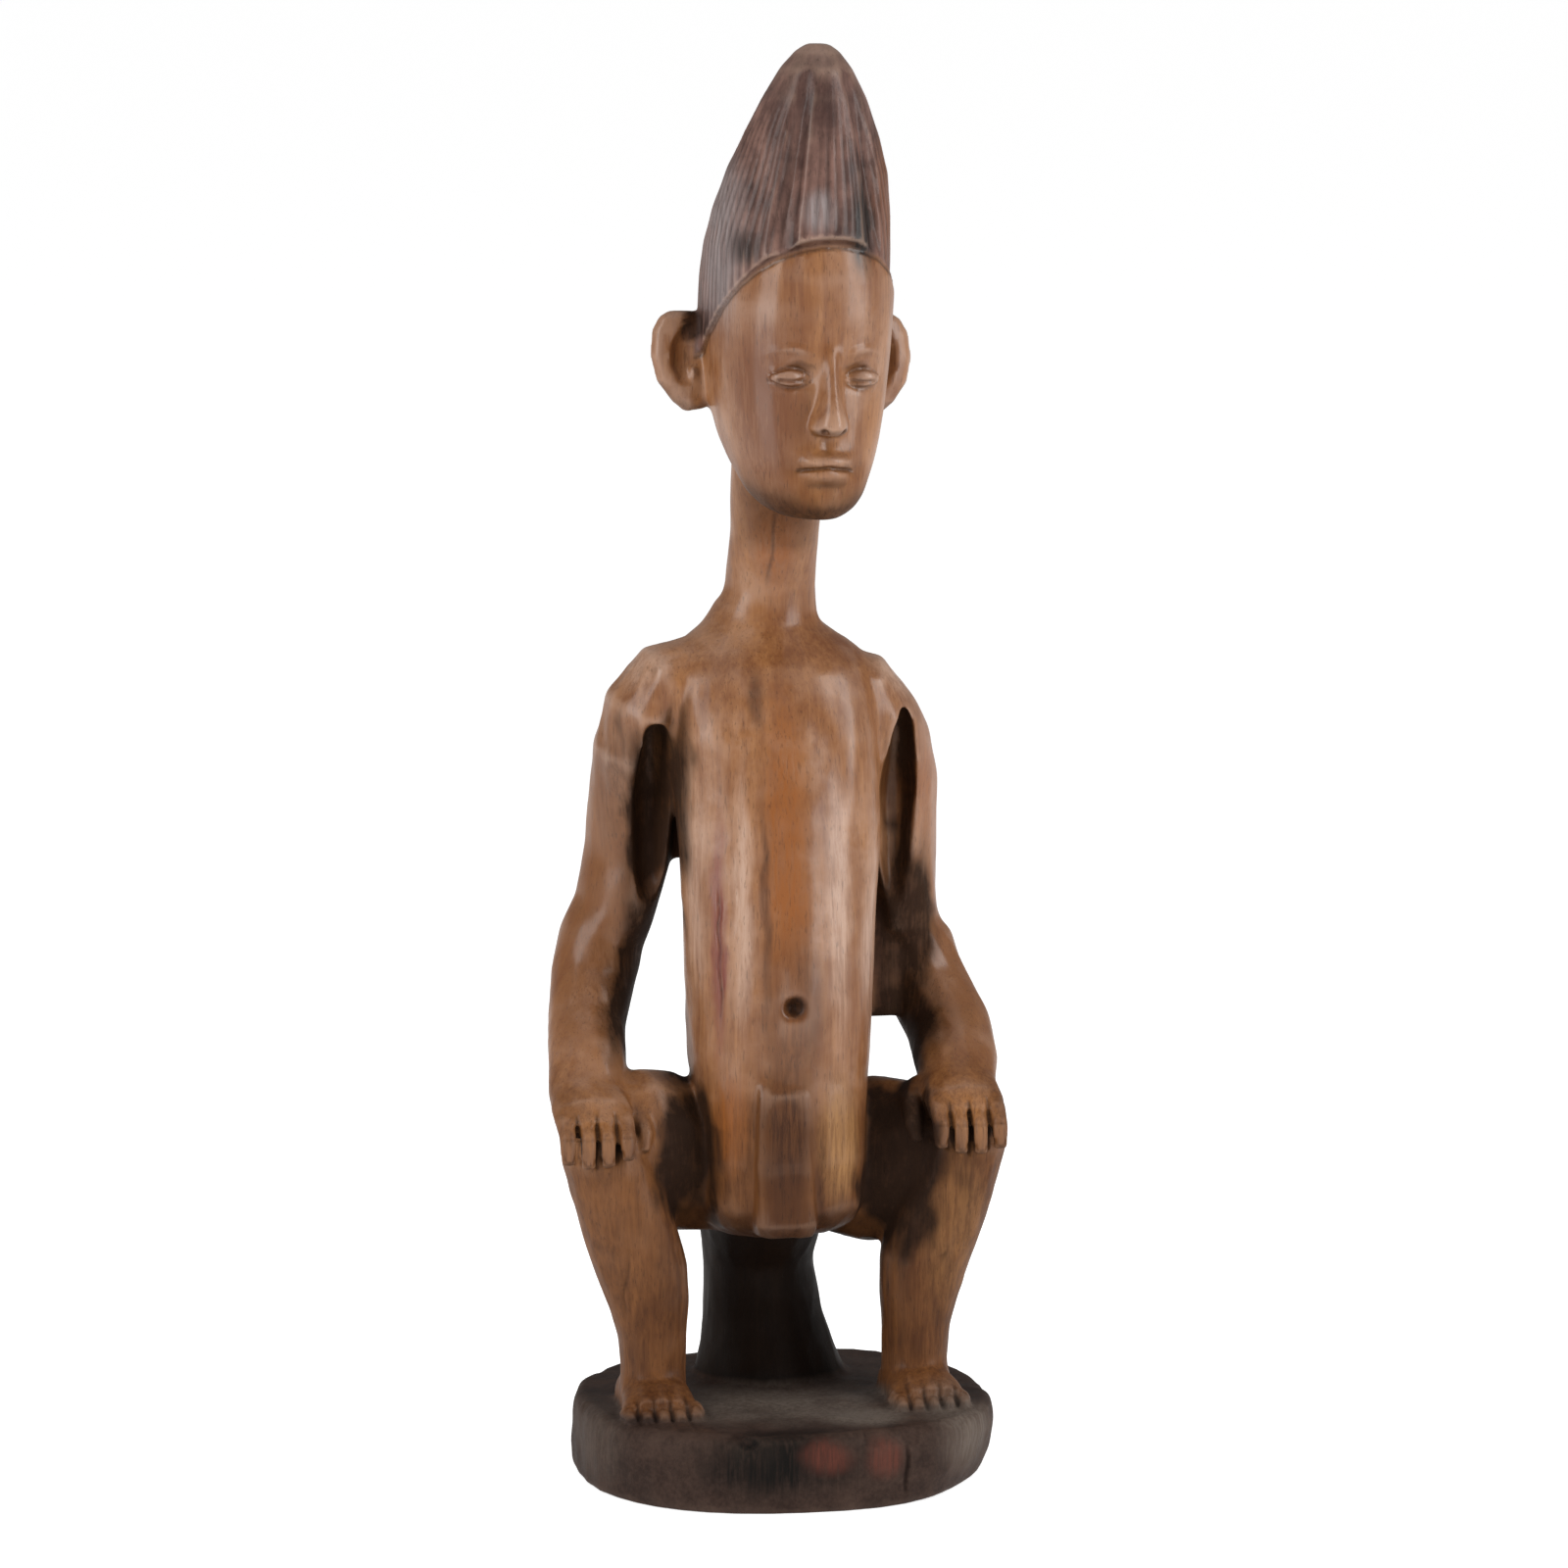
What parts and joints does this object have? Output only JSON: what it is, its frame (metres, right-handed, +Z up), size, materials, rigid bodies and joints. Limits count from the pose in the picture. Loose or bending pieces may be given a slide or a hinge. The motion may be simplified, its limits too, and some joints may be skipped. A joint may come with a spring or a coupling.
{
  "type": "carved wooden figure",
  "caption": "Carved wooden figure sitting on a low post with hands on knees, tall crested hairdress, on a round base.",
  "frame": {"origin": "centre of the round base's flat underside", "axes": "+Z up along the figure, -Y the way the figure faces, +X towards the figure's left side"},
  "size_m": [0.1175, 0.1047, 0.3601],
  "materials": {
    "wood": "hand-carved brown wood with a worn satin patina; darker hair, post and base"
  },
  "bodies": {
    "root": {"figure": "wood"}
  },
  "joints": []
}
